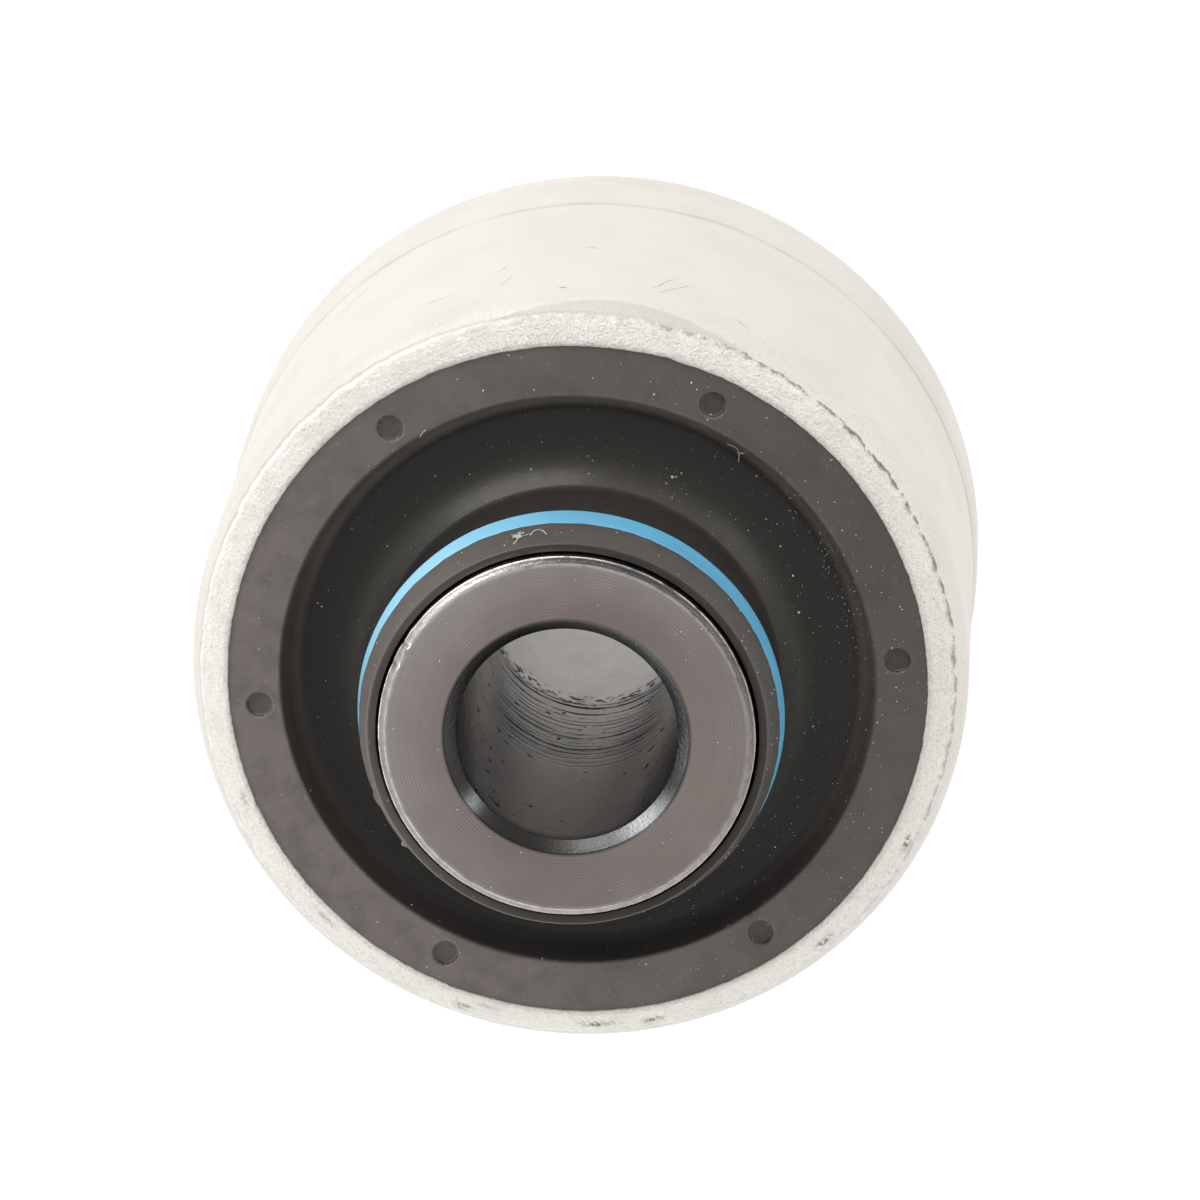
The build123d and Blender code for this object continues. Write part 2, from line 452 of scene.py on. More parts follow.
def turned_steel(colours):
    """Lathe-turned steel: fine rings on the end faces, painted highlights on the arrises and chamfers, dark
    sinks with painted glints, painted shade on the face and in the bore, and a scored bore.
    """
    f = Finish("turned_steel")
    radius, height, turn = f.axes()
    bore, sink, chamfer = f.attribute("bore"), f.attribute("sink"), f.attribute("chamfer")
    wobble = f.noise(6 * MM, 2, f.stretched(1, 1, 0.05)) * (0.25 * MM) + radius
    rings = f.math("SINE", wobble * (TURN / (0.24 * MM)))
    patchy = f.step(f.noise(8 * MM, 2), 0.40, 0.62)

    # The bore: a smooth pale far half, then broken scores round it, then a plain dull stretch to its mouth.
    # The scores show about one bearing, and the wall is painted in shade aside from it; the near half is
    # painted paler towards the middle, a painted glow.
    aside = abs(turn - np.radians(-96))
    level = f.noise(6 * MM, 2) * (0.5 * MM) + height
    zone = f.step(height, MIDDLE + 1 * MM, MIDDLE + 3 * MM)
    zone = zone * (1 - f.step(height, MIDDLE + 11 * MM, MIDDLE + 17 * MM))
    scores = f.step(f.bands(level, 0.35 * MM, 2.0), 0.55, 0.70) * zone * 0.45
    for place, half, dark in SCORES:
        scores = f.most(scores, f.band(level, (place + 0.25) * MM, 1.2 * half * MM) * dark)
    scores = scores * f.step(f.noise(2.4 * MM, 4, f.stretched(1, 1, 3.0), 0.62), 0.34, 0.57)
    scores = scores * (1 - f.step(aside, 0.50, 1.05))
    ragged = f.noise(0.9 * MM, 3, f.stretched(1, 1, 0.5)) * (2.2 * MM) + height
    deep = 1 - f.step(ragged, MIDDLE + 0.9 * MM, MIDDLE + 2.4 * MM)
    shallow = 1 - deep
    drips = f.band(ragged, MIDDLE + 1.2 * MM, 1.7 * MM) * f.step(f.noise(0.6 * MM, 2), 0.52, 0.60)
    pits = f.step(f.noise(0.8 * MM, 1), 0.71, 0.76) * shallow
    marks = f.most(f.most(scores, drips * 0.8), pits)
    grain = f.noise(0.4 * MM, 3, f.stretched(1, 1, 0.25))
    cloud = f.step(f.noise(2.2 * MM, 4, f.stretched(1, 1, 0.6)), 0.45, 0.75)
    glow = 1 - f.step(height, MIDDLE + 3 * MM, MIDDLE + 12 * MM)
    wall = f.blend(deep, colours.bore_near, colours.bore_far)
    wall = f.blend(glow * shallow * 0.35, wall, colours.bore_far)
    for amount in (
        f.most(f.step(grain, 0.5, 0.8), cloud) * 0.16,
        # Painted shade on the wall aside from bearing -96, deeper in the near half.
        f.step(aside, 0.20, 0.85) * (deep * -0.40 + 0.70),
        marks * 0.95,
    ):
        wall = f.blend(amount, wall, colours.bore_score_and_shade)

    # The end faces: a painted highlight towards the rim on the lit side, two dim lobes of painted shade round
    # the face, and rings that show in patches.
    face = colours.steel
    for amount in (
        f.step(f.bands(radius, 0.5 * MM, 3.0), 0.4, 0.7) * 0.30,
        f.step(f.noise(5 * MM, 3), 0.45, 0.75) * 0.25,
        f.attribute("painted_face_shade") * 0.85,
    ):
        face = f.blend(amount, face, colours.steel_shade)
    ridges = f.step(rings, -0.2, 0.9) * (patchy * 0.15 + 0.03)
    face = f.blend(f.attribute("shine") * 0.30 + ridges, face, colours.bright)

    # The chamfer in painted light and shade, painted highlights on its turned lines and arrises, and the
    # countersink.
    chamfer_light_and_shade = f.attribute("chamfer_light_and_shade") * (f.noise(0.8 * MM, 3) * 0.9 + 0.55)
    face = f.blend(chamfer, face, f.blend(chamfer_light_and_shade, colours.bore_score_and_shade, colours.chamfer))
    lines = f.step(f.bands(wobble, 0.10 * MM, 1.0), 0.35, 0.6) * 0.85 + 0.15
    face = f.blend(f.attribute("gleam") * lines, face, colours.bright)
    face = f.blend(f.attribute("edge") * f.step(f.noise(1.1 * MM, 3), 0.28, 0.52), face, colours.bright)
    face = f.blend(f.dots(0.5 * MM, 0.11, 0.80) * 0.6, face, colours.dust)
    sparkle = f.noise(0.16 * MM, 2) * 1.6 + 0.25
    # Painted glints on the countersink, where it would mirror the lights.
    painted_glint = f.math("MULTIPLY", f.attribute("painted_glint"), sparkle, clamp=True)
    face = f.blend(sink, face, f.blend(painted_glint, colours.sink, colours.sink_glint))

    rough = bore * -0.08 + (f.noise(2 * MM, 3) * 0.12 + 0.28)
    f.set(Base_Color=f.blend(bore, face, wall), Metallic=1.0, Roughness=marks * bore * 0.35 + rough)
    turned = rings * (patchy * 0.6 + 0.4) * (1 - f.most(bore, sink))
    grit = f.noise(0.25 * MM, 2) * f.most(sink - bore, chamfer)
    f.relief((turned, 0.004 * MM), (scores * -1, 0.08 * MM), (grain, 0.001 * MM), (grit, 0.03 * MM))
    return f.material


def boot_rubber(colours):
    """Black rubber, bloomed grey on the flat flange and collar, with painted light and shade in the same
    grey, and dust of two sizes.
    """
    f = Finish("boot_rubber")
    bloom_and_painted_light = f.attribute("bloom_and_painted_light")
    tint = f.blend(bloom_and_painted_light * (f.noise(4 * MM, 4, roughness=0.6) * 0.5 + 0.72), colours.rubber, colours.bloom_and_painted_light)
    smear = f.step(f.noise(2.2 * MM, 4, roughness=0.65), 0.42, 0.70)
    tint = f.blend(smear * bloom_and_painted_light * 0.22, tint, colours.rubber)
    dust = f.most(f.dots(0.40 * MM, 0.15, 0.78), f.dots(1.3 * MM, 0.09, 0.70))
    tint = f.blend(dust * (bloom_and_painted_light * 0.35 + 0.40), tint, colours.dust)
    f.set(Base_Color=tint, Specular_IOR_Level=0.5, Specular_Tint=(1.0, 0.96, 0.88))
    f.set(Roughness=f.noise(1.5 * MM, 3) * 0.12 + (bloom_and_painted_light * 0.10 + 0.26))
    f.relief((f.noise(0.35 * MM, 3), 0.012 * MM), (f.noise(2.2 * MM, 2), 0.02 * MM))
    return f.material


def ring_plastic(colours):
    """Moulded blue plastic with faint streaks round the band and a painted sheen on its lit side."""
    f = Finish("ring_plastic")
    streak = f.noise(1.2 * MM, 3, f.stretched(0.2, 0.2, 1))
    tint = f.blend(f.step(streak, 0.3, 0.75), colours.band, colours.band_shade)
    f.set(Base_Color=f.blend(f.attribute("painted_sheen"), tint, colours.band_sheen), Roughness=streak * 0.2 + 0.32)
    f.relief((f.noise(0.5 * MM, 2), 0.01 * MM))
    return f.material


def hidden_finish(name, colour, shade, metallic, roughness):
    """A plain mottled finish for the pieces sealed inside."""
    f = Finish(name)
    f.set(Base_Color=f.blend(f.noise(3 * MM, 3), colour, shade), Metallic=metallic)
    f.set(Roughness=f.noise(1 * MM, 2) * 0.2 + roughness)
    return f.material


def lint_finish(name, colour, shade):
    """A matt finish in two tones for fibres and crumbs."""
    f = Finish(name)
    f.set(Base_Color=f.blend(f.noise(0.3 * MM, 2), colour, shade), Roughness=0.8)
    return f.material


# What a user may change


def number(name, description, default, **limits):
    return FloatProperty(name=name, description=description, default=default, min=0.0, **limits)


def length(name, description, default):
    return number(name, description, default * MM, unit="LENGTH", precision=5)


def colour(name, description, default):
    return FloatVectorProperty(name=name, description=description, default=default, size=3, min=0.0,
                               max=1.0, subtype="COLOR")


class BushCasing(bpy.types.PropertyGroup):
    rim_radius: length("Rim radius", "Inner radius of the rolled rim", 26.0)
    rim_thickness: length("Rim thickness", "Height of the rolled rim over the boot's flange", 1.0)
    wall: length("Wall", "Wall of the tube", 2.2)
    ridge_inset: length("Ridge inset", "How far the burred ridge stands inside the tube's radius", 0.9)
    ridge_drop: length("Ridge drop", "How far the burred ridge lies below the rim", 1.1)
    lead_in: length("Lead-in", "Length of the rounded press-in lead", 2.8)
    collar_step: length("Collar step", "How far the rear collar stands out", 0.3)
    collar_length: length("Collar length", "Length of the rear collar", 9.5)
    collar_ramp: length("Collar ramp", "Length over which the rear collar runs down to the tube", 1.2)
    burr: length("Burr", "Unevenness of the ridge and the rim's inner edge", 0.10)


class BushSleeve(bpy.types.PropertyGroup):
    radius: length("Radius", "Outer radius of the sleeve's ends", 13.75)
    countersink: length("Countersink", "Depth of the countersink", 0.8)
    edge_width: length("Edge width", "Width of the outer chamfer", 0.5)
    edge_depth: length("Edge depth", "Depth of the outer chamfer", 0.35)
    ball_radius: length("Ball radius", "Radius of the ball", 21.0)


class BushBoot(bpy.types.PropertyGroup):
    recess: length("Recess", "How far the flange lies below the rim", 0.15)
    face_edge: length("Face edge", "Radius at which the flange turns down into the bowl", 22.1)
    bowl_depth: length("Bowl depth", "Depth of the bowl below the rim", 3.2)
    bowl_outer: length("Bowl outer radius", "Radius of the bowl's outer wall at its floor", 21.4)
    bowl_inner: length("Bowl inner radius", "Radius at which the membrane rises from the floor", 17.0)
    bowl_round: length("Bowl round", "Round where the membrane rises from the floor", 6.2)
    membrane: length("Membrane", "Thickness of the rubber", 1.3)
    neck_radius: length("Neck radius", "Outer radius of the neck", 14.75)
    neck_foot: length("Neck foot", "Depth of the neck's foot below the rim", 0.6)
    collar_radius: length("Collar radius", "Outer radius of the collar over the ring", 15.46)
    collar_top: length("Collar top radius", "Radius of the collar's top ridge", 14.58)
    collar_height: length("Collar height", "Height of the collar above the rim", 12.0)
    mouth_radius: length("Mouth radius", "Radius of the collar's mouth", 13.98)
    dimple_circle: length("Dimple circle", "Radius of the circle of dimples", 23.8)
    dimple_radius: length("Dimple radius", "Radius of a dimple", 0.95)
    dimple_depth: length("Dimple depth", "Depth of a dimple", 0.5)
    dimples: IntProperty(name="Dimples", description="Number of dimples round the flange", default=6, min=0)
    dimple_phase: FloatProperty(name="Dimple phase", description="Angle of the first dimple from +X",
                                default=np.radians(5.3), subtype="ANGLE", unit="ROTATION")


class BushColours(bpy.types.PropertyGroup):
    plate: colour("Plate", "Zinc plate on the tube", (0.69, 0.655, 0.605))
    plate_shade: colour("Plate shade", "Duller patches of the tube", (0.655, 0.62, 0.565))
    rim: colour("Rim", "Zinc plate on the rims", (0.93, 0.90, 0.83))
    rim_shade: colour("Rim shade", "Duller patches of the rims", (0.88, 0.85, 0.775))
    # Plate dirt also paints shade: the shadow and dark line at the ridge, the rim's lip and the rear collar's
    # step.
    plate_dirt_and_shade: colour("Plate dirt", "Specks and scuffs on the plate", (0.16, 0.15, 0.135))
    # Stain also paints shade on one side of the tube and of the rim.
    stain: colour("Stain", "Grey-green stain on the lead-in", (0.42, 0.42, 0.37))
    # Burr also paints the ridge's highlight on its lit side.
    burr: colour("Burr", "Bright metal of the ridge", (0.93, 0.92, 0.90))
    steel: colour("Steel", "Turned steel", (0.43, 0.367, 0.342))
    # Steel shade also paints the face's two lobes of painted shade.
    steel_shade: colour("Steel shade", "Darker rings of the turned steel", (0.35, 0.29, 0.27))
    # Bright steel also paints highlights: the face's lit side, the chamfer's lines and the arrises.
    bright: colour("Bright steel", "Freshly cut edges", (0.85, 0.82, 0.80))
    chamfer: colour("Chamfer", "Outer chamfers", (0.36, 0.335, 0.32))
    sink: colour("Sink", "Dull countersinks", (0.030, 0.028, 0.026))
    # Paints the countersink's glints.
    sink_glint: colour("Rubbed sink", "Rubbed patches of the countersinks", (0.42, 0.43, 0.44))
    bore_near: colour("Bore, near half", "Dull wall of the bore", (0.132, 0.119, 0.108))
    bore_far: colour("Bore, far half", "Smooth wall of the bore", (0.325, 0.290, 0.262))
    # Bore scores also paint shade beside the bore's lit bearing and on the chamfer's dark side.
    bore_score_and_shade: colour("Bore scores", "Dark scores in the bore", (0.02, 0.02, 0.02))
    rubber: colour("Rubber", "Clean rubber", (0.017, 0.016, 0.0145))
    # Bloom also paints light on the bowl's wall and the collar.
    bloom_and_painted_light: colour("Bloom", "Bloomed rubber", (0.225, 0.193, 0.178))
    dust: colour("Dust", "Dust specks", (0.55, 0.53, 0.50))
    lint: colour("Lint", "Lint and pale specks", (0.95, 0.93, 0.89))
    rust: colour("Rust", "Brown crumbs", (0.30, 0.16, 0.09))
    band: colour("Band", "Blue plastic", (0.10, 0.355, 0.54))
    band_shade: colour("Band shade", "Streaks in the blue plastic", (0.075, 0.30, 0.47))
    # Paints the band's sheen.
    band_sheen: colour("Faded band", "Rubbed blue plastic", (0.42, 0.80, 0.98))


class BushStage(bpy.types.PropertyGroup):
    floor_glow: number("Floor glow", "Light that the floor gives off", 0.90)
    horizon: number("Horizon", "Brightness of the room's walls", 2.03)
    zenith: number("Zenith", "Brightness of the room overhead", 0.45)
    lean: number("Lean", "How much brighter the walls are on the left", 0.17, max=1.0)
    key: number("Key light", "Power of the light at the back left", 2.6, unit="POWER")
    side: number("Side light", "Power of the light at the back right", 0.3, unit="POWER")


# Operators


def casing_outline(s):
    """Closed outline of the casing tube: rolled rims, burred ridges, round leads and the rear collar."""
    low, high = CASING_LOW.z, CASING_HIGH.z
    bore = CASING_RADIUS - s.wall
    collar = CASING_RADIUS + s.collar_step
    land, fine = 0.3 * MM, 0.25 * MM
    edge_round, ridge_round, lead_round = 0.1 * MM, 0.3 * MM, 4 * MM
    return rounded([
        (bore, low + s.rim_thickness, 0, 0),
        (s.rim_radius, low + s.rim_thickness, 0, 0),
        (s.rim_radius, low, edge_round, 0),
        (s.rim_radius + land, low, 0, fine),
        (collar - s.ridge_inset, low + s.ridge_drop, ridge_round, fine),
        (collar, low + s.lead_in, lead_round, 2 * MM),
        (collar, low + s.collar_length, edge_round, 0),
        (CASING_RADIUS, low + s.collar_length + s.collar_ramp, edge_round, 1.5 * MM),
        (CASING_RADIUS, high - s.lead_in, lead_round, fine),
        (CASING_RADIUS - s.ridge_inset, high - s.ridge_drop, ridge_round, fine),
        (s.rim_radius + land, high, 0, 0),
        (s.rim_radius, high, edge_round, 0),
        (s.rim_radius, high - s.rim_thickness, 0, 0),
        (bore, high - s.rim_thickness, 0, 0),
    ])


class MakeCasing(bpy.types.Operator):
    """Make the plated steel casing with its burred ridges"""

    bl_idname = "bush.casing"
    bl_label = "Casing"

    def execute(self, context):
        s = context.scene.bush_casing
        ridge_radius = CASING_RADIUS - s.ridge_inset
        inset = min(s.ridge_drop, s.rim_thickness)

        def weights(r, z):
            """Depth below the nearer rim, and how much a point belongs to the ridge, the lip and the rim."""
            end = np.minimum(z - CASING_LOW.z, CASING_HIGH.z - z)
            ridge = near(r, ridge_radius, 0.45 * MM) * near(end, s.ridge_drop, 0.5 * MM)
            lip = near(r, s.rim_radius, 0.25 * MM) * near(end, 0, 0.5 * MM)
            rim = ramp(inset * 1.3 - end, 0.4 * MM) * (r > s.rim_radius)
            return end, ridge, lip, rim

        def uneven(r, z, a):
            """Moves the ridge and the lip in and out by burr times noise, and dents the rim a little."""
            _, ridge, lip, rim = weights(r, z)
            upper = (z > MIDDLE) * 1.0
            chips = speckle(1, 620, 2, a, upper) + 0.8 * speckle(2, 150, 2, a, upper)
            nicks = speckle(3, 480, 2, a, upper) + 0.8 * speckle(4, 70, 2, a, upper)
            deep = np.clip(speckle(5, 110, 2, a, upper) - 0.62, 0, 1) * 1.8
            dents = speckle(6, 300, 8, a, ramp(r - s.rim_radius, 3 * MM))
            r = r + s.burr * (0.6 * ridge * chips - lip * (0.35 * nicks - deep))
            sign = np.where(z > MIDDLE, 1, -1)
            z = z - sign * s.burr * (0.25 * ridge * np.abs(chips) + 0.12 * rim * (dents + 1))
            return r, z

        points, quads, r, z, a = lathe(casing_outline(s), evenly(840), uneven)
        material = plated_steel(context.scene.bush_colours, s)
        piece = mesh_from("casing_tube", points, quads, "casing", ["outer_casing"], material)
        end, _, _, rim = weights(r, z)
        lead = np.clip(1 - (end - s.ridge_drop) / s.lead_in, 0, 1)
        note(piece, "sandy", np.clip(rim + 0.25 * lead, 0, 1))
        # Where the ridge is painted as a dark line of painted shade instead of a painted highlight: 0 about
        # bearing 137, the lit side.
        note(piece, "ridge_unlit", (1 - lobe(a, 137, 31)) * (0.35 + 0.65 * lobe(a, 35, 70)))
        # Painted shade on the tube about bearing 70 and on the rim about bearing 110.
        note(piece, "tube_shade", lobe(a, 70, 32))
        note(piece, "grey", 0.28 * lobe(a, 110, 50))
        # Painted shade on the rim next to the boot's lip, strongest about bearing 100.
        lip_shade = np.clip(1 - (r - s.rim_radius) / (1.2 * MM), 0, 1) * (end < s.rim_thickness)
        note(piece, "lip_shade", lip_shade * (0.35 + 0.65 * lobe(a, 100, 65)))
        note(piece, "lead", lobe(a, 50, 25) * near(end, s.ridge_drop + 1.5 * MM, 2.5 * MM))
        return {"FINISHED"}


class MakeSleeve(bpy.types.Operator):
    """Make the turned steel sleeve with its ball"""

    bl_idname = "bush.sleeve"
    bl_label = "Sleeve"

    def execute(self, context):
        s = context.scene.bush_sleeve
        low, high = SLEEVE_LOW.z, SLEEVE_HIGH.z
        edge = s.radius - s.edge_width
        mouth = BORE_RADIUS + s.countersink
        edge_round, sink_round = 0.06 * MM, 0.05 * MM
        fine, finest = 0.25 * MM, 0.09 * MM
        neck = np.sqrt(s.ball_radius**2 - s.radius**2)
        sweep = np.linspace(np.arctan2(-neck, s.radius), np.arctan2(neck, s.radius), 40)[1:-1]
        ball = [(s.ball_radius * np.cos(t), MIDDLE + s.ball_radius * np.sin(t), 0, 0) for t in sweep]
        outline = rounded([
            (mouth, low, edge_round, fine),
            (edge, low, edge_round, finest),
            (s.radius, low + s.edge_depth, edge_round, 2 * MM),
            (s.radius, MIDDLE - neck, 0, 0),
            *ball,
            (s.radius, MIDDLE + neck, 0, 2 * MM),
            (s.radius, high - s.edge_depth, edge_round, finest),
            (edge, high, edge_round, fine),
            (mouth, high, edge_round, 0),
            (BORE_RADIUS, high - s.countersink, sink_round, 1.0 * MM),
            (BORE_RADIUS, low + s.countersink, sink_round, 0),
        ])

        def uneven(r, z, a):
            """Burrs the outer chamfers: r and z move by noise that is strongest about the bruise."""
            end = np.minimum(z - low, high - z)
            rim = near(r, s.radius - s.edge_width / 2, 0.45 * MM) * near(end, 0, 0.5 * MM)
            bruise = 0.10 + lobe(a, 154, 14)
            knock = speckle(11, 260, 2, a, 0 * z) + 0.7 * speckle(12, 90, 2, a, 0 * z)
            r = r - 0.10 * MM * rim * bruise * np.clip(knock + 0.4, -0.2, 2)
            z = np.where(z > MIDDLE, z - 0.08 * MM * rim * bruise * np.abs(knock), z)
            return r, z

        points, quads, r, z, a = lathe(outline, evenly(480), uneven)
        material = turned_steel(context.scene.bush_colours)
        piece = mesh_from("turned_sleeve", points, quads, "sleeve", ["ball_sleeve"], material)
        end = np.minimum(z - low, high - z)
        note(piece, "bore", ramp(end - s.countersink + 0.01 * MM, 0.02 * MM) * (r < mouth))
        note(piece, "sink", ramp(mouth + 0.10 * MM - r, 0.06 * MM))
        arrises = near(r, edge, 0.05 * MM) + near(r, s.radius, 0.06 * MM) * near(end, s.edge_depth, 0.12 * MM)
        rim = end < s.edge_depth + 0.2 * MM
        lit = 0.5 + 0.5 * np.cos(a - np.radians(140))
        # Painted highlights on the arrises, strongest on the lit side.
        note(piece, "edge", np.clip(arrises, 0, 1) * rim * (0.35 + 0.65 * lit))
        note(piece, "chamfer", ramp(r - edge, 0.05 * MM) * rim)
        # Painted highlight towards the rim on the lit side, about bearing 140.
        note(piece, "shine", lit * ramp(r - 9.5 * MM, 4 * MM) * rim)
        # The chamfer's painted light and shade: darker about bearing 90, a painted highlight about bearing
        # 125.
        note(piece, "chamfer_light_and_shade", 0.5 - 0.25 * np.sin(a) + 0.6 * lobe(a, 125, 24))
        # Two lobes of painted shade round the face, where turned rings would turn the light away.
        note(piece, "painted_face_shade", 0.5 - 0.5 * np.cos(2 * a - np.radians(320)))
        # Bearing, width and share of each of the countersink's painted glints.
        glint_lobes = ((-46, 13, 0.72), (-75, 18, 0.12), (-143, 5, 0.35), (55, 42, 0.35), (-8, 14, 0.12),
                (175, 35, 0.05))
        note(piece, "painted_glint", sum(share * lobe(a, bearing, width) for bearing, width, share in glint_lobes))
        # Painted highlights on the chamfer's turned lines about bearing 127.
        outer = ramp(r - edge + 0.25 * MM, 0.15 * MM) * rim
        note(piece, "gleam", outer * (lobe(a, 127, 19) + 0.15 * lobe(a, 165, 14)))
        return {"FINISHED"}


def boot_outline(s, sleeve):
    """Closed outline of the front boot: flange, bowl, membrane, grooved neck and collar, then back inside."""
    top = CASING_HIGH.z
    face, floor, foot = top - s.recess, top - s.bowl_depth, top - s.neck_foot
    under = floor - s.membrane
    crown = top + s.collar_height
    edge = CASING_RADIUS - 2.9 * MM
    ring, ring_top, ring_under = s.face_edge + 0.6 * MM, top - 1.2 * MM, top - 2.6 * MM
    wrap = s.face_edge + 1.8 * MM
    slack = 0.05 * MM
    groove, seal = BAND_HIGH.x - 1.3 * MM, sleeve.radius + slack
    edge_round, foot_round, wall_round = 0.2 * MM, 1.4 * MM, 1.4 * MM
    fine, middling, coarse = 0.1 * MM, 0.35 * MM, 2 * MM
    return rounded([
        (edge, ring_top, 0, 0),
        (edge, face, 0, fine),
        (s.face_edge, face, 0.3 * MM, middling),
        (s.bowl_outer, floor, wall_round, middling),
        (s.bowl_inner, floor, s.bowl_round, middling),
        (s.neck_radius, foot, foot_round, middling),
        (s.neck_radius, BAND_LOW.z - slack, 0, 0),
        (groove, BAND_LOW.z - slack, 0, 1.2 * MM),
        (groove, BAND_HIGH.z + slack, 0, 0),
        (s.collar_radius, BAND_HIGH.z + slack, edge_round, middling),
        (s.collar_top, crown, edge_round, 0.15 * MM),
        (s.mouth_radius, crown - 0.25 * MM, 0.1 * MM, middling),
        (s.mouth_radius, crown - 1.6 * MM, 0, 0),
        (seal, crown - 3.2 * MM, 0, coarse),
        (seal, foot, foot_round, coarse),
        (s.bowl_inner - s.membrane / 2, under, s.bowl_round, coarse),
        (wrap, under, 1.8 * MM, coarse),
        (wrap, ring_under, 0, 0),
        (ring, ring_under, 0, 0),
        (ring, ring_top, 0, coarse),
    ])


def bend(piece, s, r, z, rear=False):
    """Bakes a piece's placing into its points; the share of the neck's turn worked out below is not stored,
    so nothing bends.

    A point's share of the neck's turn is 0 on the flange and the bowl's outer wall and 1 on the
    neck, and runs along the membrane between them as 3t² - 2t³, not along the axis. r and z are
    the points' radii and heights at the front end.
    """
    start, end = CASING_HIGH.z, BAND_LOW.z
    if rear:
        start, end = 2 * MIDDLE - start, 2 * MIDDLE - end
    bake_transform(piece)
    floor = np.array([(s.bowl_outer + s.bowl_inner) / 2, CASING_HIGH.z - s.bowl_depth])
    run = np.array([s.neck_radius, CASING_HIGH.z - s.neck_foot]) - floor
    share = ((r - floor[0]) * run[0] + (z - floor[1]) * run[1]) / (run @ run)
    share = smooth(np.clip(np.where(r < floor[0], share, 0), 0, 1))


class MakeBoots(bpy.types.Operator):
    """Make the rubber boots between the casing and the neck rings"""

    bl_idname = "bush.boots"
    bl_label = "Boots"

    def execute(self, context):
        s = context.scene.bush_boot
        face = CASING_HIGH.z - s.recess
        pitch = TURN / s.dimples
        spread = 1.35 * s.dimple_radius / s.dimple_circle
        dense = np.linspace(-spread, spread, 30)
        sparse = np.linspace(spread, pitch - spread, 32)[1:-1]
        centres = s.dimple_phase + np.arange(s.dimples) * pitch
        angles = (centres[:, None] + np.concatenate([dense, sparse])).ravel()

        def uneven(r, z, a):
            """Sinks the dimples by depth·(1 - smooth step of the distance from their centres).

            The collar gets a slight waviness, and a moulding line at one bearing.
            """
            x, y = r * np.cos(a), r * np.sin(a)
            gap = np.min([np.hypot(x - s.dimple_circle * np.cos(c), y - s.dimple_circle * np.sin(c))
                          for c in centres], axis=0)
            rim = smooth(ramp(s.dimple_radius + 0.06 * MM - gap, 0.16 * MM))
            dome = 0.18 * (1 - (gap / s.dimple_radius) ** 2)
            sunk = rim * (1 - dome) * (z > face - 0.05 * MM) * (r > s.face_edge)
            collar = (z > BAND_HIGH.z) * near(r, s.collar_radius, 0.8 * MM)
            r = r + 0.16 * MM * collar * lobe(a, -157, 1.6)
            r = r + 0.03 * MM * collar * speckle(21, 160, 3, a, (z - BAND_HIGH.z) / (4 * MM))
            return r, z - s.dimple_depth * sunk

        points, quads, r, z, a = lathe(boot_outline(s, context.scene.bush_sleeve), angles, uneven)
        material = boot_rubber(context.scene.bush_colours)
        # Bloom on the flat flange, heavier towards bearing 208, held off the dimples' walls as painted shade;
        # painted light on the bowl's outer wall, heavier towards bearing 90; dust on the collar, heaviest
        # about bearing -150, with painted light about bearing 138; and faint painted light everywhere,
        # stronger towards bearing 40.
        dimple_wall_shade = np.clip(1 - np.abs((face - z) / s.dimple_depth - 0.5) / 0.42, 0, 1)
        flat = ramp(r - s.face_edge + 0.1 * MM, 0.3 * MM) * (z > face - s.dimple_depth - 0.1 * MM)
        flat = flat * (1 - 0.85 * dimple_wall_shade * (r > s.face_edge + 0.4 * MM))
        flat = flat * (0.77 + 0.27 * np.cos(a - np.radians(208)))
        wall = ramp(r - s.bowl_outer + 0.9 * MM, 0.6 * MM) * (r < s.face_edge + 0.3 * MM)
        wall = wall * (z > face - s.bowl_depth) * (0.46 + 0.34 * np.sin(a))
        collar_dust_and_light = 0.12 + 0.46 * lobe(a, -150, 45) + 0.22 * lobe(a, 138, 26)
        collar = collar_dust_and_light * ramp(z - BAND_HIGH.z, 0.3 * MM)
        # Faint painted light everywhere, stronger towards bearing 40.
        faint = 0.05 + 0.045 * np.cos(a - np.radians(40))
        bloom_and_painted_light = np.max([flat, wall, collar, faint], axis=0)
        for end, place, faces in both_ends(points, quads):
            name, node = f"boot_{end}_rubber", f"boot_{end}"
            piece = mesh_from(name, place, faces, None, [node], material)
            note(piece, "bloom_and_painted_light", bloom_and_painted_light)
            bend(piece, s, r, z, rear=end == "rear")
        return {"FINISHED"}


class MakeRings(bpy.types.Operator):
    """Make the blue retaining rings in the boots' neck grooves"""

    bl_idname = "bush.rings"
    bl_label = "Retaining rings"

    def execute(self, context):
        radius, low, high = BAND_HIGH.x, BAND_LOW.z, BAND_HIGH.z
        inner, upper = radius - 1.25 * MM, radius - 0.40 * MM
        edge_round, fine = 0.3 * MM, 0.4 * MM
        outline = rounded([
            (inner, low, 0, fine),
            (radius, low, edge_round, fine),
            (upper, high, edge_round, fine),
            (inner, high, 0, fine),
        ])

        def uneven(r, z, a):
            """Moves the edges by 0.02 mm of slow noise, as on a stretched moulding."""
            return r + 0.02 * MM * (speckle(31, 24, 2, a, 0 * z) - 1) * (r > radius - 0.5 * MM), z

        points, quads, _, _, a = lathe(outline, evenly(360), uneven)
        material = ring_plastic(context.scene.bush_colours)
        for end, place, faces in both_ends(points, quads):
            name, node = f"ring_{end}_band", f"retaining_ring_{end}"
            piece = mesh_from(name, place, faces, "neck_rings", [node], material)
            # Painted sheen on the band's lit side, about bearing 139.
            note(piece, "painted_sheen", 0.62 * lobe(a, 139, 36))
        return {"FINISHED"}


